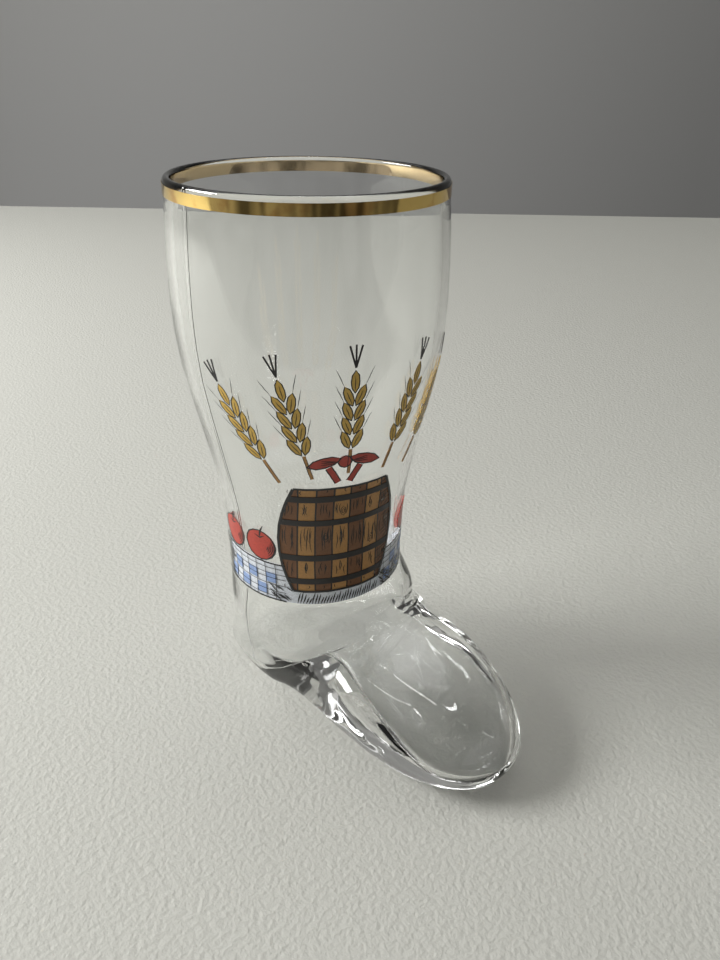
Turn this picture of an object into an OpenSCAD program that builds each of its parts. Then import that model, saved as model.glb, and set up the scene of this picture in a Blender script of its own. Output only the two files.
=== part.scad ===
// Beer boot glass: a blown boot with a gold lip band and an enamel print.
// The leg stands on the origin, the toe points along +X and +Z is up. Lengths are in millimetres.

/* [Glass] */
// height of the whole boot, table to lip
boot_h = 150; // [140:1:160]
// outer diameter at the mouth
mouth_d = 70; // [66:0.5:74]
// thickness of the leg's wall, and of the rounded lip
wall = 2; // [1.6:0.1:2.6]
// thickness of the foot's side walls at the ball
foot_wall = 2.6; // [2:0.1:3.4]
// height of the hollow under the shank
arch_h = 11; // [9:0.1:12]
// how far the flat bases are ground away to make the boot stand
base_trim = 0.5; // [0.3:0.05:0.8]

/* [Gold band] */
// height of the gold band
band_h = 2.7; // [2:0.1:4]
// bare glass left above the gold band
band_drop = 1.35; // [1.1:0.05:2]
// thickness of the fired gold
gold_t = 0.12; // [0.1:0.01:0.2]

/* [Enamel print] */
// thickness of one fired enamel layer
ink_t = 0.15; // [0.12:0.01:0.25]
// height of the print's lower edge above the ankle, where the leg meets the foot
print_rise = 0.75; // [0.5:0.25:6]
// height of the checked cloth in the print
cloth_h = 13; // [10:0.5:16]
// side of one square in the checked cloth
check = 3.3; // [2.8:0.1:4]
// width of the barrel at its belly
barrel_w = 32; // [28:0.5:36]
// height of the barrel
barrel_h = 36; // [32:0.5:40]
// length of one barley grain
grain = 5.6; // [4.8:0.1:6.2]
// width of a black outline
line_w = 0.9; // [0.6:0.05:1.2]

/* [Hidden] */
sides = 48;
fine = 64;
mouth_r = mouth_d / 2;
lip_r = wall / 2;
lip_z = boot_h - lip_r;
band_z = boot_h - band_drop - band_h;
band_foot = band_z - band_drop;

// The leg's outline from the band down to the ankle: height above the table as a share of the
// boot's height, then radius as a share of the mouth's radius.
leg_shares = [[0.915, 1.017], [0.81, 1.034], [0.70, 1.006], [0.56, 0.893], [0.43, 0.791],
              [0.33, 0.764], [0.28, 0.757], [0.245, 0.762]];

// The foot from ankle to toe, as shares of the mouth's radius. Each row is one section:
// instep x and z, underside x and z, half width, how square its top and its bottom are, how far
// down from the instep it is widest, then x and z of the hollow's floor.
trim_share = base_trim / mouth_r;
arch_share = arch_h / mouth_r;
heel_floor_share = 0.085;
roof_share = arch_share + foot_wall / mouth_r;
foot_shares = [
    [0.836, 0.970, -0.762, 0.780, 0.790, 2.1, 2.0, 0.50, -0.702, 0.780],
    [0.889, 0.918, -0.760, 0.520, 0.798, 2.2, 2.0, 0.50, -0.700, 0.530],
    [0.921, 0.888, -0.752, 0.270, 0.790, 2.2, 2.1, 0.50, -0.685, 0.300],
    [0.938, 0.870, -0.725, 0.050, 0.770, 2.2, 2.4, 0.50, -0.640, 0.130],
    [0.950, 0.857, -0.420, -trim_share, 0.752, 2.2, 4.0, 0.50, -0.400, heel_floor_share],
    [0.960, 0.847, -0.060, -trim_share, 0.730, 2.2, 6.0, 0.49, -0.060, heel_floor_share],
    [0.969, 0.839, 0.150, -trim_share, 0.702, 2.2, 4.0, 0.48, 0.150, heel_floor_share + 0.015],
    [0.977, 0.833, 0.270, arch_share * 0.42, 0.668, 2.2, 2.6, 0.45, 0.250, roof_share * 0.55],
    [0.986, 0.828, 0.440, arch_share * 0.80, 0.638, 2.2, 2.0, 0.41, 0.420, roof_share * 0.84],
    [0.996, 0.823, 0.640, arch_share, 0.623, 2.2, 1.7, 0.39, 0.630, roof_share * 0.985],
    [1.008, 0.819, 0.815, arch_share * 0.96, 0.626, 2.2, 1.7, 0.39, 0.815, roof_share],
    [1.020, 0.815, 0.868, arch_share * 0.43, 0.638, 2.2, 2.0, 0.40, 0.870, roof_share * 0.995],
    [1.036, 0.810, 0.900, -trim_share, 0.652, 2.3, 2.5, 0.41, 0.910, roof_share * 0.985],
    [1.120, 0.790, 1.060, -trim_share, 0.682, 2.3, 2.6, 0.43, 1.060, roof_share * 0.93],
    [1.250, 0.765, 1.250, -trim_share, 0.700, 2.3, 2.6, 0.43, 1.250, roof_share * 0.82],
    [1.420, 0.730, 1.420, -trim_share, 0.690, 2.3, 2.6, 0.45, 1.420, roof_share * 0.665],
    [1.600, 0.690, 1.600, -trim_share, 0.655, 2.3, 2.5, 0.47, 1.600, roof_share * 0.51],
    [1.780, 0.638, 1.780, -trim_share, 0.605, 2.3, 2.5, 0.50, 1.780, 0.150],
    [1.950, 0.570, 1.950, 0.000, 0.530, 2.3, 2.4, 0.50, 1.950, 0.125],
    [2.090, 0.490, 2.090, 0.020, 0.436, 2.2, 2.2, 0.50, 2.090, 0.120],
    [2.200, 0.412, 2.200, 0.068, 0.325, 2.1, 2.1, 0.50, 2.200, 0.140],
    [2.270, 0.345, 2.270, 0.132, 0.210, 2.0, 2.0, 0.50, 2.270, 0.180],
    [2.302, 0.290, 2.302, 0.190, 0.100, 2.0, 2.0, 0.50, 2.302, 0.212]
];
toe_shares = [2.312, 0.240];

// Smooth curves through the rows of named shares.
function blend(a, b, c, d, t) =
    (2 * b + (c - a) * t + (2 * a - 5 * b + 4 * c - d) * t * t
     + (3 * b - a - 3 * c + d) * t * t * t) / 2;
function row_at(rows, i) = rows[max(0, min(len(rows) - 1, i))];
function smooth_rows(rows, steps) = [
    for (i = [0 : len(rows) - 2]) for (j = [0 : steps - 1])
        blend(row_at(rows, i - 1), rows[i], rows[i + 1], row_at(rows, i + 2), j / steps),
    rows[len(rows) - 1]
];

leg_line = [[mouth_r, lip_z], [mouth_r, band_foot],
            for (s = leg_shares) [s[1] * mouth_r, s[0] * boot_h]];
leg_curve = concat([leg_line[0]], smooth_rows([for (i = [1 : len(leg_line) - 1]) leg_line[i]], 2));

function leg_row(p) = [p[0], p[1], -p[0], p[1], p[0], 2, 2, 0.5];
function outer_row(s) = [s[0] * mouth_r, s[1] * mouth_r, s[2] * mouth_r, s[3] * mouth_r,
                         s[4] * mouth_r, s[5], s[6], s[7]];
foot_rows = concat([leg_row(leg_line[len(leg_line) - 1])], [for (s = foot_shares) outer_row(s)]);
outer_rows = concat([for (i = [0 : len(leg_curve) - 2]) leg_row(leg_curve[i])],
                    smooth_rows(foot_rows, 2));

// The inside: one wall thinner than the leg, and over its own floor line in the foot.
// The toe end is drawn back by the wall, so that the tip is as thick as the sides.
toe_x = toe_shares[0] * mouth_r;
squeeze_x = foot_shares[13][0] * mouth_r;
function squeezed(x) = x <= squeeze_x ? x : x - foot_wall * (x - squeeze_x) / (toe_x - squeeze_x);
function slim(p) = leg_row([p[0] - wall, p[1]]);
function side_t(i) = wall + (foot_wall - wall) * min(1, i / 12);
function inner_row(s, i) =
    let (dx = (s[2] - s[0]), dz = (s[3] - s[1]), run = sqrt(dx * dx + dz * dz), t = side_t(i))
    [squeezed(s[0] * mouth_r + t * dx / run), s[1] * mouth_r + t * dz / run,
     squeezed(s[8] * mouth_r), s[9] * mouth_r, s[4] * mouth_r - t, s[5], min(s[6], 4), s[7]];
inner_rows = concat([for (i = [0 : len(leg_curve) - 1]) slim(leg_curve[i])],
                    [for (i = [0 : len(foot_shares) - 1]) inner_row(foot_shares[i], i)]);

lip_rows = [for (a = [30 : 30 : 150])
    leg_row([mouth_r - lip_r + lip_r * cos(a), lip_z + lip_r * sin(a)])];

// The skin: one closed ring of points for each row, joined ring to ring.
function ring(r) = [for (j = [0 : sides - 1])
    let (a = 360 * j / sides, c0 = cos(a), s0 = sin(a), e = c0 > 0 ? r[5] : r[6],
         k = pow(pow(abs(c0), e) + pow(abs(s0), e), -1 / e),
         u = r[7] - k * c0 * (c0 > 0 ? r[7] : 1 - r[7]))
    [r[0] + (r[2] - r[0]) * u, r[4] * k * s0, r[1] + (r[3] - r[1]) * u]];

all_rows = concat([for (i = [len(outer_rows) - 1 : -1 : 0]) outer_rows[i]], lip_rows, inner_rows);
skin_points = concat([for (r = all_rows) each ring(r)],
    [[toe_x, 0, toe_shares[1] * mouth_r], [squeezed(toe_x), 0, toe_shares[1] * mouth_r]]);
last = len(all_rows) - 1;
toe_tip = len(skin_points) - 2;
inner_tip = len(skin_points) - 1;
skin_faces = concat(
    [for (i = [0 : last - 1]) for (j = [0 : sides - 1])
        let (a = i * sides + j, b = i * sides + (j + 1) % sides, c = a + sides, d = b + sides)
        each [[a, b, d], [a, d, c]]],
    [for (j = [0 : sides - 1]) [toe_tip, (j + 1) % sides, j]],
    [for (j = [0 : sides - 1]) [inner_tip, last * sides + j, last * sides + (j + 1) % sides]]);

module glass_body() {
    color([0.86, 0.9, 0.9, 0.35])
    difference() {
        polyhedron(points = skin_points, faces = skin_faces, convexity = 8);
        translate([-boot_h, -boot_h, -boot_h]) cube([2 * boot_h, 2 * boot_h, boot_h]);
    }
}

module gold_band() {
    color([0.83, 0.62, 0.24])
    translate([0, 0, band_z])
    rotate_extrude($fn = fine)
    translate([mouth_r, 0]) square([gold_t, band_h]);
}

// The print lies on the leg alone. Layer 0 is fired on the glass and layer 1 on top of it.
ink_line = [for (i = [1 : len(leg_curve) - 1]) leg_curve[i]];
print_low = ink_line[len(ink_line) - 1][1] + print_rise;
print_from = -108;
print_to = 64;
reach = boot_h / 2;
stamp_r = 0.62 * mouth_r;
stamp_depth = 0.6 * mouth_r;
front_az = -24;
cloth_z = print_low + cloth_h;
barrel_z = print_low + 0.35 * cloth_h + barrel_h / 2;
barrel_top = barrel_z + barrel_h / 2;
stave = barrel_w / 7;
bow_z = barrel_top + 1.5 * grain;
apple_r = 0.9 * grain;
apple_azs = [-97, -73, 37];
ear_azs = [-64, -44, -22, 2, 22];
ear_leans = [26, 14, 0, -14, -26];
ear_foot_shares = [0.62, 0.76, 0.84, 0.76, 0.62];
ear_rows = 4;

module ink(layer, from, to) {
    rotate([0, 0, from])
    rotate_extrude(angle = to - from, $fn = fine)
    polygon(concat([for (p = ink_line) [p[0] + layer * ink_t, p[1]]],
        [for (i = [len(ink_line) - 1 : -1 : 0])
            [ink_line[i][0] + (layer + 1) * ink_t, ink_line[i][1]]]));
}

// Places a flat outline against the leg at an angle around it and a height, as a deep stamp.
module stamp(az, z, lean = 0) {
    rotate([0, 0, az]) translate([stamp_r, 0, z]) rotate([90, 0, 90])
    linear_extrude(stamp_depth) rotate(lean) children();
}

module slab(low, high) {
    translate([-reach, -reach, low]) cube([2 * reach, 2 * reach, high - low]);
}

module barrel_2d() {
    bow_r = 1.55 * barrel_w;
    intersection() {
        square([barrel_w, barrel_h], center = true);
        translate([barrel_w / 2 - bow_r, 0]) circle(bow_r, $fn = fine);
        translate([bow_r - barrel_w / 2, 0]) circle(bow_r, $fn = fine);
    }
}

module grain_2d() {
    side_r = 0.82 * grain;
    off = side_r - 0.19 * grain;
    intersection() {
        translate([off, 0]) circle(side_r, $fn = fine);
        translate([-off, 0]) circle(side_r, $fn = fine);
    }
}

module apple_shape() {
    for (az = apple_azs) stamp(az, cloth_z + 1.06 * apple_r) circle(apple_r, $fn = fine);
}

module hoop_shape() {
    for (share = [-0.40, -0.17, 0.17, 0.40])
        stamp(front_az, barrel_z + share * barrel_h)
            square([2 * barrel_w, 2.2 * line_w], center = true);
}

module barrel_shape() {
    stamp(front_az, barrel_z) barrel_2d();
}

module stave_shape() {
    for (i = [-1 : 1]) stamp(front_az, barrel_z)
        translate([2 * i * stave, 0]) square([stave, 2 * barrel_h], center = true);
}

module grains_shape() {
    for (i = [0 : len(ear_azs) - 1]) for (k = [0 : ear_rows - 1]) for (side = [-1, 1])
        stamp(ear_azs[i], barrel_top + ear_foot_shares[i] * barrel_h / 2, ear_leans[i])
            translate([side * 0.27 * grain, k * 0.74 * grain]) rotate(-side * 22) grain_2d();
}

module tips_shape() {
    for (i = [0 : len(ear_azs) - 1])
        stamp(ear_azs[i], barrel_top + ear_foot_shares[i] * barrel_h / 2, ear_leans[i])
            translate([0, (ear_rows - 0.1) * 0.74 * grain]) grain_2d();
}

module stems_shape() {
    for (i = [0 : len(ear_azs) - 1])
        stamp(ear_azs[i], barrel_top + ear_foot_shares[i] * barrel_h / 2, ear_leans[i])
            translate([-line_w / 2, -1.9 * grain]) square([line_w, 1.35 * grain]);
}

module bow_shape() {
    stamp(front_az, bow_z) {
        for (side = [-1, 1]) translate([side * 0.95 * grain, 0]) rotate(side * 74) scale(1.5) grain_2d();
        circle(0.34 * grain, $fn = fine);
        for (side = [-1, 1]) translate([side * 0.5 * grain, -0.72 * grain])
            rotate(-side * 28) square([0.3 * grain, grain], center = true);
    }
}

module print_white() {
    color([0.93, 0.95, 0.98])
    difference() {
        intersection() {
            ink(0, print_from, print_to);
            slab(print_low, cloth_z);
        }
        barrel_shape();
    }
}

module check_shape(from, to) {
    for (az = [from : 14 : to]) for (k = [0 : 1])
        stamp(az + 7 * k, print_low + (0.9 + 1.4 * k) * check)
            square([check, check], center = true);
}

module print_blue() {
    color([0.45, 0.58, 0.80])
    intersection() {
        ink(1, print_from, print_to);
        union() {
            check_shape(print_from + 6, front_az - 44);
            check_shape(front_az + 38, print_to - 12);
        }
    }
}

module print_brown() {
    color([0.36, 0.18, 0.09])
    intersection() {
        ink(0, front_az - 50, front_az + 50);
        difference() {
            barrel_shape();
            stave_shape();
        }
    }
}

module print_tan() {
    color([0.72, 0.45, 0.20])
    intersection() {
        ink(0, front_az - 60, front_az + 60);
        union() {
            intersection() {
                barrel_shape();
                stave_shape();
            }
            difference() {
                stems_shape();
                bow_shape();
            }
        }
    }
}

module print_yellow() {
    color([0.88, 0.68, 0.22])
    intersection() {
        ink(0, print_from, print_to);
        union() {
            grains_shape();
            tips_shape();
        }
    }
}

module print_red() {
    color([0.74, 0.16, 0.12])
    intersection() {
        ink(0, print_from, print_to);
        union() {
            apple_shape();
            bow_shape();
        }
    }
}

module print_black() {
    color([0.06, 0.05, 0.05])
    union() {
        intersection() {
            ink(1, front_az - 50, front_az + 50);
            barrel_shape();
            hoop_shape();
        }
        intersection() {
            ink(0, print_from, print_to);
            union() for (i = [0 : len(ear_azs) - 1]) for (lean = [-16, 0, 16])
                stamp(ear_azs[i], barrel_top + ear_foot_shares[i] * barrel_h / 2, ear_leans[i])
                    translate([0, (ear_rows + 0.75) * 0.74 * grain]) rotate(-lean)
                    translate([-line_w / 4, 0]) square([line_w / 2, grain]);
        }
    }
}

glass_body();
gold_band();
print_white();
print_blue();
print_brown();
print_tan();
print_yellow();
print_red();
print_black();
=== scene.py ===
import math
import random

import bmesh
import bpy
from mathutils import Matrix, Vector


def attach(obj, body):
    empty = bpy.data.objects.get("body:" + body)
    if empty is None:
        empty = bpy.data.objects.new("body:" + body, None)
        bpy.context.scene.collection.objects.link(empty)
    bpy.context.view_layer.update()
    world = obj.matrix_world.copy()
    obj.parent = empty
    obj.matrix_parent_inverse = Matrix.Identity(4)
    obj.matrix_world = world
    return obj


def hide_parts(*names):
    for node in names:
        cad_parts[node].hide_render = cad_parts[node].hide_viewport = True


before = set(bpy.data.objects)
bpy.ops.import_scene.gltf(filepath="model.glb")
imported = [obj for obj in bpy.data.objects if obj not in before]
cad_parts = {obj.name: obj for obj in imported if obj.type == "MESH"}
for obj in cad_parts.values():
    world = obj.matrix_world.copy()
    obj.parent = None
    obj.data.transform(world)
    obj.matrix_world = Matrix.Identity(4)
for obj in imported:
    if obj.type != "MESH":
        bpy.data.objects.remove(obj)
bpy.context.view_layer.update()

# The boot glass itself: one gather of clear soda-lime glass, blown into a two-part mould and
# fire-polished at the lip. Leg, heel, shank, sole and toe are one wall, and the shank keeps thick
# glass under the hollow. Each ring is a section, from the toe up to the lip and down the inside.
MOUTH_R = 0.035
BOOT_H = 0.150
WALL = 0.002
FOOT_WALL = 0.0026
LIP_R = WALL / 2
TRIM = 0.0005 / MOUTH_R
ARCH = 0.0018 / MOUTH_R
HEEL_FLOOR = 0.06
ROOF = 0.0188 / MOUTH_R
BAND_FOOT = 0.1446
SIDES = 48
LEG = [(0.915, 1.017), (0.81, 1.034), (0.70, 1.006), (0.56, 0.893), (0.43, 0.791),
       (0.33, 0.764), (0.28, 0.757), (0.245, 0.762)]
# Instep x, z, underside x, z, half width, squareness above and below, widest place, floor x, z.
FOOT = [
    (0.836, 0.970, -0.762, 0.780, 0.790, 2.1, 2.0, 0.50, -0.702, 0.780, 2.0, 0.80),
    (0.889, 0.918, -0.760, 0.520, 0.798, 2.2, 2.0, 0.50, -0.700, 0.530, 2.0, 0.80),
    (0.921, 0.888, -0.752, 0.270, 0.790, 2.2, 2.2, 0.50, -0.694, 0.280, 2.4, 0.80),
    (0.938, 0.870, -0.725, 0.050, 0.775, 2.2, 3.0, 0.50, -0.665, 0.100, 4.0, 0.80),
    (0.950, 0.857, -0.420, -TRIM, 0.758, 2.2, 4.5, 0.50, -0.440, HEEL_FLOOR, 8.0, 0.80),
    (0.960, 0.847, -0.060, -TRIM, 0.742, 2.2, 7.0, 0.49, -0.180, HEEL_FLOOR, 9.0, 0.80),
    (0.969, 0.839, 0.150, -TRIM, 0.722, 2.2, 7.0, 0.48, 0.020, HEEL_FLOOR + 0.01, 8.0, 0.85),
    (0.977, 0.833, 0.270, ARCH * 0.45, 0.704, 2.2, 7.0, 0.46, 0.140, ROOF * 0.36, 4.5, 1.25),
    (0.986, 0.828, 0.400, ARCH * 0.85, 0.690, 2.2, 7.0, 0.44, 0.250, ROOF * 0.69, 2.8, 1.70),
    (0.996, 0.823, 0.540, ARCH, 0.680, 2.2, 7.0, 0.42, 0.380, ROOF * 0.88, 2.3, 2.05),
    (1.008, 0.819, 0.680, ARCH * 0.8, 0.672, 2.2, 7.0, 0.42, 0.540, ROOF * 0.965, 2.1, 2.30),
    (1.020, 0.815, 0.800, ARCH * 0.35, 0.668, 2.2, 6.0, 0.42, 0.720, ROOF, 2.0, 2.40),
    (1.036, 0.810, 0.900, -TRIM, 0.668, 2.3, 5.0, 0.42, 0.900, ROOF * 0.995, 2.0, 2.40),
    (1.120, 0.790, 1.060, -TRIM, 0.685, 2.3, 4.0, 0.43, 1.060, ROOF * 0.97, 2.0, 2.35),
    (1.250, 0.765, 1.250, -TRIM, 0.700, 2.3, 3.2, 0.43, 1.250, ROOF * 0.90, 2.0, 2.15),
    (1.420, 0.730, 1.420, -TRIM, 0.690, 2.3, 3.0, 0.45, 1.420, ROOF * 0.775, 2.1, 1.85),
    (1.600, 0.690, 1.600, -TRIM, 0.655, 2.3, 2.8, 0.47, 1.600, ROOF * 0.60, 2.2, 1.45),
    (1.780, 0.638, 1.780, -TRIM, 0.605, 2.3, 2.6, 0.50, 1.780, ROOF * 0.405, 2.3, 1.15),
    (1.950, 0.570, 1.950, 0.000, 0.530, 2.3, 2.4, 0.50, 1.950, 0.140, 2.3, 1.00),
    (2.090, 0.490, 2.090, 0.020, 0.436, 2.2, 2.2, 0.50, 2.090, 0.122, 2.2, 1.00),
    (2.200, 0.412, 2.200, 0.068, 0.325, 2.1, 2.1, 0.50, 2.200, 0.140, 2.1, 1.00),
    (2.270, 0.345, 2.270, 0.132, 0.210, 2.0, 2.0, 0.50, 2.270, 0.180, 2.0, 1.00),
    (2.302, 0.290, 2.302, 0.190, 0.100, 2.0, 2.0, 0.50, 2.302, 0.212, 2.0, 1.00),
]
TOE = (2.312, 0.240)


def smooth_rows(rows, steps):
    """Rows of numbers with more rows between them, on a curve through all of them."""
    full = []
    for i in range(len(rows) - 1):
        a, b, c, d = (rows[max(0, min(len(rows) - 1, i + k))] for k in (-1, 0, 1, 2))
        for j in range(steps):
            t = j / steps
            full.append(tuple((2 * q + (r - p) * t + (2 * p - 5 * q + 4 * r - s) * t * t
                               + (3 * q - p - 3 * r + s) * t ** 3) / 2
                              for p, q, r, s in zip(a, b, c, d)))
    return full + [tuple(rows[-1])]


leg_points = [(MOUTH_R, BAND_FOOT)] + [(r * MOUTH_R, z * BOOT_H) for z, r in LEG]
leg_curve = smooth_rows(leg_points, 2)


def leg_section(r, z):
    return (r, z, -r, z, r, 2, 2, 0.5)


def foot_section(s):
    return tuple(v * MOUTH_R for v in s[:5]) + s[5:8]


def drawn_back(x):
    """The hollow's place along the foot, held back so that the toe is a full wall thick."""
    start, end = FOOT[13][0] * MOUTH_R, TOE[0] * MOUTH_R
    return x if x <= start else x - FOOT_WALL * (x - start) / (end - start)


def hollow_section(s, i):
    t = WALL + (FOOT_WALL - WALL) * min(1, i / 12)
    dx, dz = s[2] - s[0], s[3] - s[1]
    run = math.hypot(dx, dz)
    return (drawn_back(s[0] * MOUTH_R + t * dx / run), s[1] * MOUTH_R + t * dz / run,
            drawn_back(s[8] * MOUTH_R), s[9] * MOUTH_R, s[4] * MOUTH_R - s[11] * FOOT_WALL,
            s[5], s[10], s[7])


def section_point(row, turn):
    c, s = math.cos(turn), math.sin(turn)
    power = row[5] if c > 0 else row[6]
    k = (abs(c) ** power + abs(s) ** power) ** (-1 / power)
    u = row[7] - k * c * (row[7] if c > 0 else 1 - row[7])
    return Vector((row[0] + (row[2] - row[0]) * u, row[4] * k * s, row[1] + (row[3] - row[1]) * u))


foot_outside = smooth_rows([leg_section(leg_points[-1][0], leg_points[-1][1])]
                           + [foot_section(s) for s in FOOT], 2)
foot_inside = smooth_rows([leg_section(leg_points[-1][0] - WALL, leg_points[-1][1])]
                          + [hollow_section(s, i) for i, s in enumerate(FOOT)], 2)
lip = [leg_section(MOUTH_R - LIP_R + LIP_R * math.cos(math.radians(a)),
                   BOOT_H - LIP_R + LIP_R * math.sin(math.radians(a)))
       for a in range(0, 181, 30)]
outside = ([s for s in reversed(foot_outside)]
           + [leg_section(r, z) for r, z in reversed(leg_curve[:-1])])
inside = [leg_section(r - WALL, z) for r, z in leg_curve[:-1]] + foot_inside
sections = outside + lip + inside

bpy.ops.object.select_all(action="DESELECT")
bpy.ops.mesh.primitive_circle_add(vertices=SIDES, radius=LIP_R)
boot = bpy.context.object
boot.name = boot.data.name = "boot_glass"
bpy.ops.object.mode_set(mode="EDIT")
for section in sections[1:]:
    bpy.ops.mesh.extrude_edges_move()
bpy.ops.object.mode_set(mode="OBJECT")
for i, section in enumerate(sections):
    for j in range(SIDES):
        boot.data.vertices[i * SIDES + j].co = section_point(section, math.tau * j / SIDES)
last = len(sections) - 1
for end, tip in ((last, drawn_back(TOE[0] * MOUTH_R)), (0, TOE[0] * MOUTH_R)):
    bpy.ops.object.mode_set(mode="EDIT")
    bpy.ops.mesh.select_all(action="DESELECT")
    bpy.ops.object.mode_set(mode="OBJECT")
    for j in range(SIDES):
        boot.data.vertices[end * SIDES + j].select = True
    bpy.ops.object.mode_set(mode="EDIT")
    bpy.ops.mesh.extrude_edges_move()
    bpy.ops.mesh.merge(type="CENTER")
    pole = [v for v in bmesh.from_edit_mesh(boot.data).verts if v.select]
    pole[0].co = Vector((tip, 0, TOE[1] * MOUTH_R))
    bpy.ops.object.mode_set(mode="OBJECT")
bpy.ops.object.mode_set(mode="EDIT")
bpy.ops.mesh.select_all(action="SELECT")
bpy.ops.mesh.normals_make_consistent(inside=False)
bpy.ops.object.mode_set(mode="OBJECT")
rounding = boot.modifiers.new("rounding", "SUBSURF")
rounding.levels = rounding.render_levels = 1
bpy.ops.object.modifier_apply(modifier=rounding.name)


def leg_radius(z):
    """The leg's outside radius at a height, by the same points as its rings."""
    for (r1, z1), (r2, z2) in zip(leg_curve, leg_curve[1:]):
        if z2 <= z <= z1:
            return r1 + (r2 - r1) * (z1 - z) / (z1 - z2)
    return leg_curve[0][0] if z > BAND_FOOT else leg_curve[-1][0]


# The leg is trued on the mould, a hair proud of the print's back, so that the enamel is fused
# into it. The heel and the sole are ground flat with a small round at the edge.
PROUD = 0.00004
GRIND = 0.00035
LEG_LOW = leg_curve[-1][1]
PRINT_END, BAND_START, BLEND = 0.1195, 0.130, 0.004
for v in boot.data.vertices:
    out = math.hypot(v.co.x, v.co.y)
    if LEG_LOW < v.co.z < BOOT_H - LIP_R and out > leg_radius(v.co.z) - 0.4 * WALL:
        fade = min(1, (v.co.z - LEG_LOW) / BLEND, max(0, (PRINT_END - v.co.z) / BLEND))
        if v.co.z > BAND_START:
            fade = 1
        to = leg_radius(v.co.z) + PROUD * fade
        v.co.x, v.co.y = v.co.x * to / out, v.co.y * to / out
    v.co.z = (v.co.z + math.sqrt(v.co.z ** 2 + GRIND ** 2)) / 2
boot.data.update()
bpy.ops.object.shade_smooth()


def map_range(tree, source, low, high, to_low=0, to_high=1):
    """A Map Range node fed from a socket."""
    node = tree.nodes.new("ShaderNodeMapRange")
    node.inputs["From Min"].default_value, node.inputs["From Max"].default_value = low, high
    node.inputs["To Min"].default_value, node.inputs["To Max"].default_value = to_low, to_high
    tree.links.new(source, node.inputs["Value"])
    return node


def grain_noise(tree, place, scale, detail):
    """A Noise Texture node on a socket's coordinates."""
    node = tree.nodes.new("ShaderNodeTexNoise")
    node.inputs["Scale"].default_value = scale
    node.inputs["Detail"].default_value = detail
    tree.links.new(place, node.inputs["Vector"])
    return node


def bump(tree, height, strength, distance, target):
    """A Bump node from a height to a shader's normal."""
    node = tree.nodes.new("ShaderNodeBump")
    node.inputs["Strength"].default_value = strength
    node.inputs["Distance"].default_value = distance
    tree.links.new(height, node.inputs["Height"])
    tree.links.new(node.outputs["Normal"], target)


def set_ramp(ramp, start, dark, end, light):
    for step, spot, colour in ((0, start, dark), (1, end, light)):
        ramp.color_ramp.elements[step].position = spot
        ramp.color_ramp.elements[step].color = colour + (1,)


clear_glass = bpy.data.materials.new("clear_glass")
clear_glass.use_nodes = True
tree = clear_glass.node_tree
gather = tree.nodes["Principled BSDF"]
gather.inputs["Base Color"].default_value = (0.985, 0.99, 0.985, 1)
gather.inputs["Roughness"].default_value = 0.0
gather.inputs["IOR"].default_value = 1.5
gather.inputs["Transmission Weight"].default_value = 1.0
place = tree.nodes.new("ShaderNodeTexCoord")
along = tree.nodes.new("ShaderNodeSeparateXYZ")
tree.links.new(place.outputs["Object"], along.inputs["Vector"])
# A stand-in for caustics: shadow rays get through by a share that falls from heel to toe.
HEEL_END, TOE_START, THIN_SHARE, THICK_SHARE = 0.004, 0.030, 0.68, 0.08
thin = map_range(tree, along.outputs["X"], HEEL_END, TOE_START, THIN_SHARE, THICK_SHARE)
seen = tree.nodes.new("ShaderNodeLightPath")
share = tree.nodes.new("ShaderNodeMath")
share.operation = "MULTIPLY"
tree.links.new(seen.outputs["Is Shadow Ray"], share.inputs[0])
tree.links.new(thin.outputs["Result"], share.inputs[1])
# The mould's seam runs down both sides at x = 0, and the skin has a slow swirl.
SEAM_HALF, SEAM_LIFT, SWIRL_SCALE = 0.00045, 0.16, 38
off_seam = tree.nodes.new("ShaderNodeMath")
off_seam.operation = "ABSOLUTE"
tree.links.new(along.outputs["X"], off_seam.inputs[0])
seam = map_range(tree, off_seam.outputs["Value"], 0, SEAM_HALF, SEAM_LIFT, 0)
seam.interpolation_type = "SMOOTHSTEP"
swirl = grain_noise(tree, place.outputs["Object"], SWIRL_SCALE, 0)
skin_height = tree.nodes.new("ShaderNodeMath")
tree.links.new(seam.outputs["Result"], skin_height.inputs[0])
tree.links.new(swirl.outputs["Fac"], skin_height.inputs[1])
bump(tree, skin_height.outputs["Value"], 0.3, 0.0007, gather.inputs["Normal"])
passing = tree.nodes.new("ShaderNodeBsdfTransparent")
either = tree.nodes.new("ShaderNodeMixShader")
tree.links.new(share.outputs["Value"], either.inputs["Fac"])
tree.links.new(gather.outputs["BSDF"], either.inputs[1])
tree.links.new(passing.outputs["BSDF"], either.inputs[2])
tree.links.new(either.outputs["Shader"], tree.nodes["Material Output"].inputs["Surface"])
boot.data.materials.append(clear_glass)
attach(boot, "root")
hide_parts("glass_body")

# The gold band is a thin film of bright gold lustre, brushed on by hand just under the lip and
# fired. It is a mirror in front, duller where it has been handled, and paler seen from inside.
fired_gold = bpy.data.materials.new("fired_gold")
fired_gold.use_nodes = True
tree = fired_gold.node_tree
lustre = tree.nodes["Principled BSDF"]
lustre.inputs["Metallic"].default_value = 1.0
where = tree.nodes.new("ShaderNodeTexCoord")
wear = grain_noise(tree, where.outputs["Object"], 160, 6)
tone = tree.nodes.new("ShaderNodeValToRGB")
set_ramp(tone, 0.36, (0.62, 0.37, 0.12), 0.5, (0.80, 0.57, 0.20))
tree.links.new(wear.outputs["Fac"], tone.inputs["Fac"])
FILM_BACK = MOUTH_R + 0.00005
flat_place = tree.nodes.new("ShaderNodeVectorMath")
flat_place.operation = "MULTIPLY"
flat_place.inputs[1].default_value = (1, 1, 0)
tree.links.new(where.outputs["Object"], flat_place.inputs[0])
reach_out = tree.nodes.new("ShaderNodeVectorMath")
reach_out.operation = "LENGTH"
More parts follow.
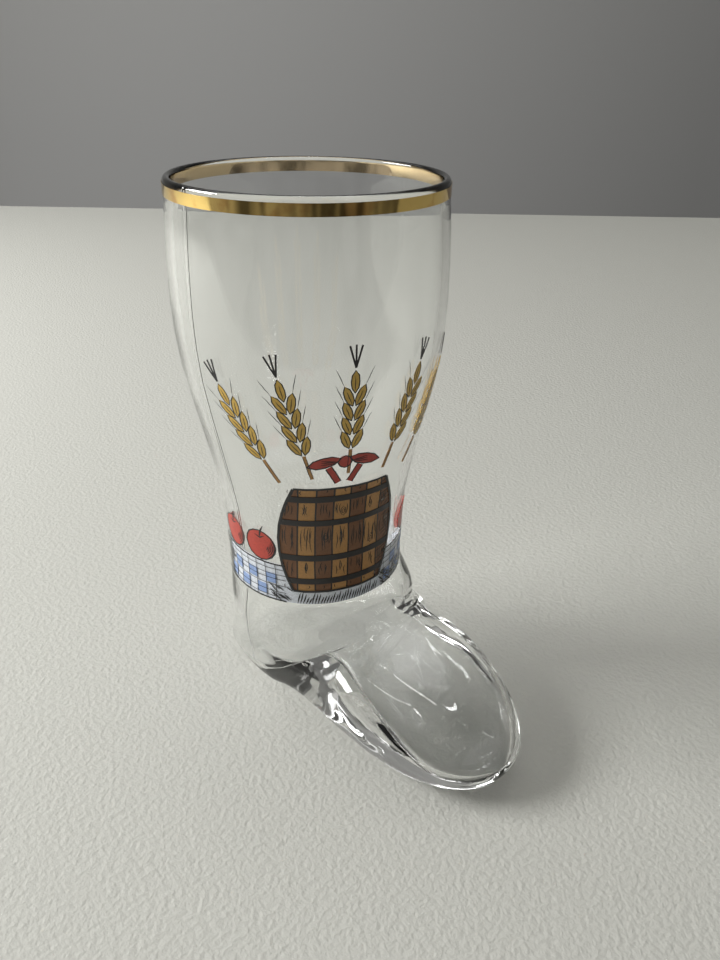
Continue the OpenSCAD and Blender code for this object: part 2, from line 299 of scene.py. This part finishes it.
tree.links.new(flat_place.outputs["Vector"], reach_out.inputs[0])
inside_face = tree.nodes.new("ShaderNodeMath")
inside_face.operation = "LESS_THAN"
inside_face.inputs[1].default_value = FILM_BACK
tree.links.new(reach_out.outputs["Value"], inside_face.inputs[0])
film_side = tree.nodes.new("ShaderNodeMix")
film_side.data_type = "RGBA"
film_side.inputs["B"].default_value = (0.94, 0.74, 0.47, 1)
tree.links.new(inside_face.outputs["Value"], film_side.inputs["Factor"])
tree.links.new(tone.outputs["Color"], film_side.inputs["A"])
tree.links.new(film_side.outputs["Result"], lustre.inputs["Base Color"])
dull = map_range(tree, wear.outputs["Fac"], 0.45, 0.75, 0.03, 0.16)
tree.links.new(dull.outputs["Result"], lustre.inputs["Roughness"])
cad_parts["gold_band"].data.materials.clear()
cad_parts["gold_band"].data.materials.append(fired_gold)

# The print is screened enamel in seven colours, fired on the leg: a film with a satin skin.
ENAMEL = {"print_white": (0.80, 0.84, 0.90), "print_blue": (0.30, 0.42, 0.70),
          "print_brown": (0.20, 0.085, 0.03), "print_tan": (0.50, 0.26, 0.08),
          "print_yellow": (0.72, 0.46, 0.09), "print_red": (0.50, 0.06, 0.04),
          "print_black": (0.02, 0.018, 0.018)}
THIN_PATCH = 0.82
for node, colour in ENAMEL.items():
    fired = bpy.data.materials.new(node.replace("print", "enamel"))
    fired.use_nodes = True
    tree = fired.node_tree
    film = tree.nodes["Principled BSDF"]
    film.inputs["Roughness"].default_value = 0.38
    where = tree.nodes.new("ShaderNodeTexCoord")
    mottle = grain_noise(tree, where.outputs["Object"], 1800, 4)
    tone = tree.nodes.new("ShaderNodeValToRGB")
    set_ramp(tone, 0.35, tuple(THIN_PATCH * c for c in colour), 0.6, colour)
    tree.links.new(mottle.outputs["Fac"], tone.inputs["Fac"])
    tree.links.new(tone.outputs["Color"], film.inputs["Base Color"])
    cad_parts[node].data.materials.clear()
    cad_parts[node].data.materials.append(fired)

# The black key is the last screen of the print: outlines, wood grain and hatching drawn by hand.
# Each stroke is a thin tapering ribbon of black enamel that lies on the colours under it.
STROKE_POINTS = 9
PRINT_LOW, PRINT_FROM, PRINT_TO, FRONT = 0.0375, -108, 64, -24
CLOTH_H = 0.013
CLOTH_TOP = PRINT_LOW + CLOTH_H
BARREL_W, BARREL_H = 0.032, 0.036
BARREL_Z = PRINT_LOW + 0.35 * CLOTH_H + BARREL_H / 2
BARREL_TOP = BARREL_Z + BARREL_H / 2
GRAIN = 0.0056
OVER_FIRST, OVER_SECOND = 0.00019, 0.00036
hand = random.Random(11)
strokes = []


def stroke(points, width, lift=OVER_FIRST, taper=True, wobble=0.00006):
    """Keeps one ribbon along points of (turn in radians, height), as left and right edges."""
    r = leg_radius(points[len(points) // 2][1]) + lift
    flat = [Vector((t * r, z)) for t, z in points]
    runs = [0.0]
    for a, b in zip(flat, flat[1:]):
        runs.append(runs[-1] + (b - a).length)
    left, right = [], []
    for i in range(STROKE_POINTS):
        along = i / (STROKE_POINTS - 1)
        want = runs[-1] * i / (STROKE_POINTS - 1)
        k = max(j for j in range(len(runs) - 1) if runs[j] <= want + 1e-9)
        heading = (flat[k + 1] - flat[k]).normalized()
        at = flat[k] + heading * (want - runs[k])
        side = Vector((-heading.y, heading.x))
        at = at + side * hand.uniform(-wobble, wobble)
        half = width / 2 * (0.25 + 0.75 * math.sin(math.pi * along) if taper else 1)
        for edge, s in ((left, half), (right, -half)):
            spot = at + side * s
            spot.y = max(spot.y, PRINT_LOW - 0.0002)
            out = leg_radius(spot.y) + lift
            edge.append((out * math.cos(spot.x / r), out * math.sin(spot.x / r), spot.y))
    strokes.append(right + left)


def outline(points, width, lift=OVER_FIRST, wobble=0.00006):
    """A stroke of even width."""
    stroke(points, width, lift, False, wobble)


def stamped(az, z, lean, points):
    """Flat points (across, up) set against the leg at an angle and a height."""
    c, s = math.cos(math.radians(lean)), math.sin(math.radians(lean))
    spots = []
    for u, v in points:
        across, up = u * c - v * s, u * s + v * c
        turn = math.radians(az) + math.asin(across / leg_radius(z + up))
        spots.append((turn, z + up))
    return spots


def almond(x, y, size, tilt):
    """The outline of one grain, round from its foot."""
    c, s = math.cos(math.radians(tilt)), math.sin(math.radians(tilt))
    turns = [math.tau * k / 16 for k in range(17)]
    shape = [(0.19 * size * math.sin(t), -0.525 * size * math.cos(t)) for t in turns]
    return [(x + u * c - v * s, y + u * s + v * c) for u, v in shape]


def ring_points(x, y, r, start=0, end=360):
    turns = [math.radians(start + (end - start) * k / 12) for k in range(13)]
    return [(x + r * math.cos(t), y + r * math.sin(t)) for t in turns]


# The barrel: its outline, the joints of its staves, their grain, and shade at its right side.
BOW_R = 1.55 * BARREL_W
STAVE = BARREL_W / 7


def barrel_edge(v):
    return BARREL_W / 2 - BOW_R + math.sqrt(BOW_R ** 2 - v ** 2)


def on_barrel(points):
    return stamped(FRONT, BARREL_Z, 0, points)


heights = [BARREL_H * (k / 12 - 0.5) for k in range(13)]
for side in (-1, 1):
    outline(on_barrel([(side * barrel_edge(v), v) for v in heights]), 0.0008, OVER_SECOND)
    outline(on_barrel([(barrel_edge(BARREL_H / 2) * t, BARREL_H / 2 * side)
                       for t in (-1, -0.5, 0, 0.5, 1)]), 0.0007, OVER_SECOND)
    for joint in (0.5, 1.5, 2.5):
        outline(on_barrel([(side * joint * STAVE, v * 0.98) for v in heights]), 0.00042,
                OVER_FIRST, 0.00012)
# Between the hoops: the grain's low and high end as shares of the height, and its strokes.
PANELS = ((-0.49, -0.44, 1), (-0.36, -0.21, 4), (-0.13, 0.13, 6), (0.21, 0.36, 4),
          (0.44, 0.49, 1))
for stave in range(-3, 4):
    for low, high, count in PANELS:
        for k in range(count):
            u = (stave + hand.uniform(-0.36, 0.36)) * STAVE
            foot = hand.uniform(low, (low + high) / 2)
            tip = min(high, foot + hand.uniform(0.5, 0.9) * (high - low))
            sway = hand.uniform(-0.0005, 0.0005)
            line = [(u + sway * math.sin(3 * t), (foot + (tip - foot) * t) * BARREL_H)
                    for t in (0, 0.25, 0.5, 0.75, 1)]
            stroke(on_barrel(line), 0.00026)
for u, v in ((-0.004, 0.001), (0.0093, -0.0025), (0.0005, 0.0098)):
    for r in (0.0005, 0.0010):
        knot = [(u + 0.7 * (a - u), v + 1.6 * (b - v)) for a, b in ring_points(u, v, r)]
        outline(on_barrel(knot), 0.0002)
for k in range(26):
    v = (k / 25 - 0.5) * 0.94 * BARREL_H
    u = barrel_edge(v)
    stroke(on_barrel([(u - 0.0002, v), (u - hand.uniform(0.002, 0.0042), v - 0.0012)]), 0.0003)

# The ears: each grain has an outline and a crease, and long thin awns stand out from its tip.
# Each ear is its angle round the leg, its lean, and its foot above the barrel as a share.
EAR_ROWS = 4
ROW_RISE = 0.74 * GRAIN
EARS = ((-64, 26, 0.62), (-44, 14, 0.76), (-22, 0, 0.84), (2, -14, 0.76), (22, -26, 0.62))
for az, lean, share in EARS:
    foot = BARREL_TOP + share * BARREL_H / 2
    grains = [(side * 0.27 * GRAIN, k * ROW_RISE, -side * 22)
              for k in range(EAR_ROWS) for side in (-1, 1)]
    for x, y, tilt in grains + [(0, (EAR_ROWS - 0.1) * ROW_RISE, 0)]:
        outline(stamped(az, foot, lean, almond(x, y, GRAIN, tilt)), 0.0003, OVER_FIRST, 0.00003)
        s, c = math.sin(math.radians(tilt)), math.cos(math.radians(tilt))
        crease = [(x - v * s, y + v * c) for v in (-0.4 * GRAIN, 0, 0.25 * GRAIN)]
        stroke(stamped(az, foot, lean, crease), 0.00022)
        if tilt:
            awn = [(x - v * s * (1 + 14 * v), y + v * c)
                   for v in (0.5 * GRAIN, 0.8 * GRAIN, 1.1 * GRAIN, 1.4 * GRAIN)]
            stroke(stamped(az, foot, lean, awn), 0.0002)
    for side in (-1, 1):
        stalk = [(side * 0.0004, -v * GRAIN) for v in (0.5, 1.2, 1.9)]
        stroke(stamped(az, foot, lean, stalk), 0.0002)

# The bow and the apples: outlines, folds and a few curved strokes of shade.
BOW_Z = BARREL_TOP + 1.5 * GRAIN
for side in (-1, 1):
    loop = almond(side * 0.95 * GRAIN, 0, 1.5 * GRAIN, side * 74)
    outline(stamped(FRONT, BOW_Z, 0, loop), 0.00036)
    for tilt in (-0.10, 0.02, 0.12):
        fold = [(side * t * GRAIN, tilt * t * GRAIN) for t in (0.35, 0.7, 1.1)]
        stroke(stamped(FRONT, BOW_Z, 0, fold), 0.00026)
    c, s = math.cos(math.radians(28)), -side * math.sin(math.radians(28))
    for a in (-0.15, 0.15):
        tail_edge = [((side * 0.5 + a * c - b * s) * GRAIN, (-0.72 + a * s + b * c) * GRAIN)
                     for b in (-0.5, 0, 0.5)]
        outline(stamped(FRONT, BOW_Z, 0, tail_edge), 0.0003)
outline(stamped(FRONT, BOW_Z, 0, ring_points(0, 0, 0.34 * GRAIN)), 0.00034)
APPLE_R = 0.9 * GRAIN
for az in (-97, -73, 37):
    at = (az, CLOTH_TOP + 1.06 * APPLE_R, 0)
    for start in (0, 180):
        outline(stamped(*at, ring_points(0, 0, APPLE_R, start, start + 180)), 0.00042)
    for k in range(5):
        r = APPLE_R * (0.92 - 0.11 * k)
        stroke(stamped(*at, ring_points(0, 0, r, -62 + 7 * k, 38 - 9 * k)), 0.00028)
    stem = [(0, 0.55 * APPLE_R), (0.0004, 0.95 * APPLE_R), (0.0016, 1.4 * APPLE_R)]
    stroke(stamped(*at, stem), 0.0006)
    hollow = [(-0.0016, 0.66 * APPLE_R), (0, 0.52 * APPLE_R), (0.0016, 0.68 * APPLE_R)]
    stroke(stamped(*at, hollow), 0.0004)

# The cloth: its woven lines and hem, brushed ends at its left edge, and the barrel's shadow.
HEM_LOW, HEM_TOP = 0.0002, 0.0129
for start, end in ((PRINT_FROM, FRONT - 33), (FRONT + 31, PRINT_TO)):
    for rise in (HEM_LOW, 0.0013, 0.0031, 0.0054, 0.0076, 0.0093, 0.0112, HEM_TOP):
        outline([(math.radians(start + (end - start) * t / 8), PRINT_LOW + rise)
                 for t in range(9)],
                0.0005 if rise in (HEM_LOW, HEM_TOP) else 0.0002, OVER_SECOND)
    for k in range(int((end - start) / 7) + 1):
        az = start + 2.5 + 7 * k
        if az < end:
            outline([(math.radians(az), PRINT_LOW + CLOTH_H * t / 4) for t in range(5)],
                    0.0002, OVER_SECOND)
for k in range(24):
    z = PRINT_LOW + 0.0006 * k + 0.0004
    ends = ((-hand.uniform(3, 11), hand.uniform(-0.0006, 0.0008)), (0, 0),
            (hand.uniform(3, 9), 0.0002))
    stroke([(math.radians(PRINT_FROM + a), z + b) for a, b in ends], 0.00045, OVER_SECOND)
for k in range(46):
    az = FRONT + 29 + 0.78 * k + hand.uniform(-1, 1)
    z = PRINT_LOW + hand.uniform(0.0005, 0.0065 - 0.00008 * k)
    lift = hand.choice((-1, 1)) * hand.uniform(0.6, 1.1)
    stroke([(math.radians(az), z), (math.radians(az + 4.5), z + 0.0021 * lift)], 0.0005,
           OVER_SECOND)
for k in range(16):
    az, z = FRONT - 29 - 0.8 * k, PRINT_LOW + hand.uniform(0.0004, 0.0045)
    stroke([(math.radians(az), z), (math.radians(az - 4), z + 0.0014)], 0.0004, OVER_SECOND)
for k in range(30):
    az = FRONT - 26 + 52 * k / 29
    top = PRINT_LOW + hand.uniform(0.0022, 0.0042)
    stroke([(math.radians(az), PRINT_LOW + 0.0001), (math.radians(az + 2), top)], 0.00042)

bpy.ops.mesh.primitive_grid_add(x_subdivisions=STROKE_POINTS - 1, y_subdivisions=1, size=0.001)
ink_key = bpy.context.object
ink_key.name = ink_key.data.name = "ink_key"
repeat = ink_key.modifiers.new("strokes", "ARRAY")
repeat.count = len(strokes)
bpy.ops.object.modifier_apply(modifier=repeat.name)
for i, spot in enumerate(spot for edges in strokes for spot in edges):
    ink_key.data.vertices[i].co = spot
ink_key.data.update()
ink_key.data.materials.append(bpy.data.materials["enamel_black"])
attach(ink_key, "root")

# The table under it is covered with plain off-white embossed paper, with a gray wall behind whose
# colour is painted shade, light on the window's side and dark away from it.
def stage_paint(name, colour, rough):
    paint = bpy.data.materials.new(name)
    paint.use_nodes = True
    skin = paint.node_tree.nodes["Principled BSDF"]
    skin.inputs["Base Color"].default_value = colour + (1,)
    skin.inputs["Roughness"].default_value = rough
    return paint


VIEW_TURN = math.radians(137.5)
TABLE_DROP = 0.0001
ahead = Vector((math.cos(VIEW_TURN), math.sin(VIEW_TURN), 0))
aside = Vector((math.sin(VIEW_TURN), -math.cos(VIEW_TURN), 0))
up = Vector((0, 0, 1))
bpy.ops.mesh.primitive_plane_add(size=1)
table = bpy.context.object
table.name = table.data.name = "table_paper"
corners = ((-0.24, -1.6), (-0.24, 1.6), (0.80, -1.6), (0.80, 1.6))
for v, (a, b) in zip(table.data.vertices, corners):
    v.co = ahead * a + aside * b - up * TABLE_DROP
paper = stage_paint("table_paper", (0.53, 0.53, 0.485), 0.8)
tree = paper.node_tree
where = tree.nodes.new("ShaderNodeTexCoord")
emboss = grain_noise(tree, where.outputs["Object"], 620, 3)
bump(tree, emboss.outputs["Fac"], 0.8, 0.0005, tree.nodes["Principled BSDF"].inputs["Normal"])
table.data.materials.append(paper)
bpy.ops.mesh.primitive_plane_add(size=1)
wall = bpy.context.object
wall.name = wall.data.name = "back_wall"
for v, (b, z) in zip(wall.data.vertices, ((-3, -0.8), (3, -0.8), (-3, 2.0), (3, 2.0))):
    v.co = ahead * 1.6 + aside * b + up * z
plaster = stage_paint("back_wall", (0.55, 0.55, 0.55), 0.9)
tree = plaster.node_tree
where = tree.nodes.new("ShaderNodeTexCoord")
across = tree.nodes.new("ShaderNodeVectorMath")
across.operation = "DOT_PRODUCT"
across.inputs[1].default_value = aside
tree.links.new(where.outputs["Object"], across.inputs[0])
# Painted shade: the wall's colour runs from light on the window's side to dark on the far side,
# standing in for the falloff of the window's light.
painted_wall_falloff = tree.nodes.new("ShaderNodeValToRGB")
set_ramp(painted_wall_falloff, 0.15, (0.66, 0.66, 0.65), 0.85, (0.36, 0.36, 0.355))
spread = map_range(tree, across.outputs["Value"], -1.1, 1.1)
tree.links.new(spread.outputs["Result"], painted_wall_falloff.inputs["Fac"])
tree.links.new(painted_wall_falloff.outputs["Color"], tree.nodes["Principled BSDF"].inputs["Base Color"])
wall.data.materials.append(plaster)

# Soft daylight from a window at the left, with light thrown back by the ceiling and a thin lamp
# on it, in a room that is paler above and on the window's side and has dark patches in it.
room = bpy.data.worlds.new("room")
room.use_nodes = True
tree = room.node_tree
look = tree.nodes.new("ShaderNodeTexCoord")
lit_side = tree.nodes.new("ShaderNodeVectorMath")
lit_side.operation = "DOT_PRODUCT"
tree.links.new(look.outputs["Generated"], lit_side.inputs[0])
lit_side.inputs[1].default_value = (ahead * 0.35 - aside * 0.35 + up * 0.87).normalized()
fade = map_range(tree, lit_side.outputs["Value"], -0.5, 0.75, 0.13, 0.34)
clutter = grain_noise(tree, look.outputs["Generated"], 3.2, 2)
patches = map_range(tree, clutter.outputs["Fac"], 0.42, 0.58, 0.35, 1.65)
broken = tree.nodes.new("ShaderNodeMath")
broken.operation = "MULTIPLY"
tree.links.new(fade.outputs["Result"], broken.inputs[0])
tree.links.new(patches.outputs["Result"], broken.inputs[1])
tree.links.new(broken.outputs["Value"], tree.nodes["Background"].inputs["Strength"])
tree.nodes["Background"].inputs["Color"].default_value = (1.0, 0.985, 0.95, 1)
bpy.context.scene.world = room


def window(name, place, aim, size, watts):
    bpy.ops.object.light_add(type="AREA", location=place)
    lamp = bpy.context.object
    lamp.name = name
    lamp.data.shape = "RECTANGLE"
    lamp.data.size, lamp.data.size_y = size
    lamp.data.energy = watts
    lamp.rotation_euler = (Vector(aim) - Vector(place)).to_track_quat("-Z", "Y").to_euler()


window("window_left", ahead * 0.02 - aside * 0.95 + up * 0.60, (0, 0, 0.04), (0.52, 0.34), 14)
window("ceiling_bounce", ahead * 1.15 - aside * 0.3 + up * 1.9, (0, 0, 0), (2.6, 1.6), 11)
window("ceiling_lamp", ahead * 0.32 + aside * 0.18 + up * 1.5, (0, 0, 0), (0.75, 0.03), 0.9)

# The camera stands in front of the boot's right side and looks down at it, as the photo does.
FOCAL_PX, TALL_PX = 735, 960
bpy.ops.object.camera_add()
camera = bpy.context.object
camera.data.sensor_width = 36
camera.data.lens = FOCAL_PX / TALL_PX * 36
right = Vector((0.6687, 0.7434, 0.0144)).normalized()
down = Vector((0.3805, -0.3255, -0.8656))
down = (down - right * down.dot(right)).normalized()
forward = right.cross(down)
turn = Matrix((right, -down, -forward)).transposed().to_4x4()
camera.matrix_world = Matrix.Translation((0.1513, -0.1196, 0.1749)) @ turn
camera.data.clip_start = 0.01
bpy.context.scene.camera = camera
bpy.context.scene.view_settings.view_transform = "Standard"
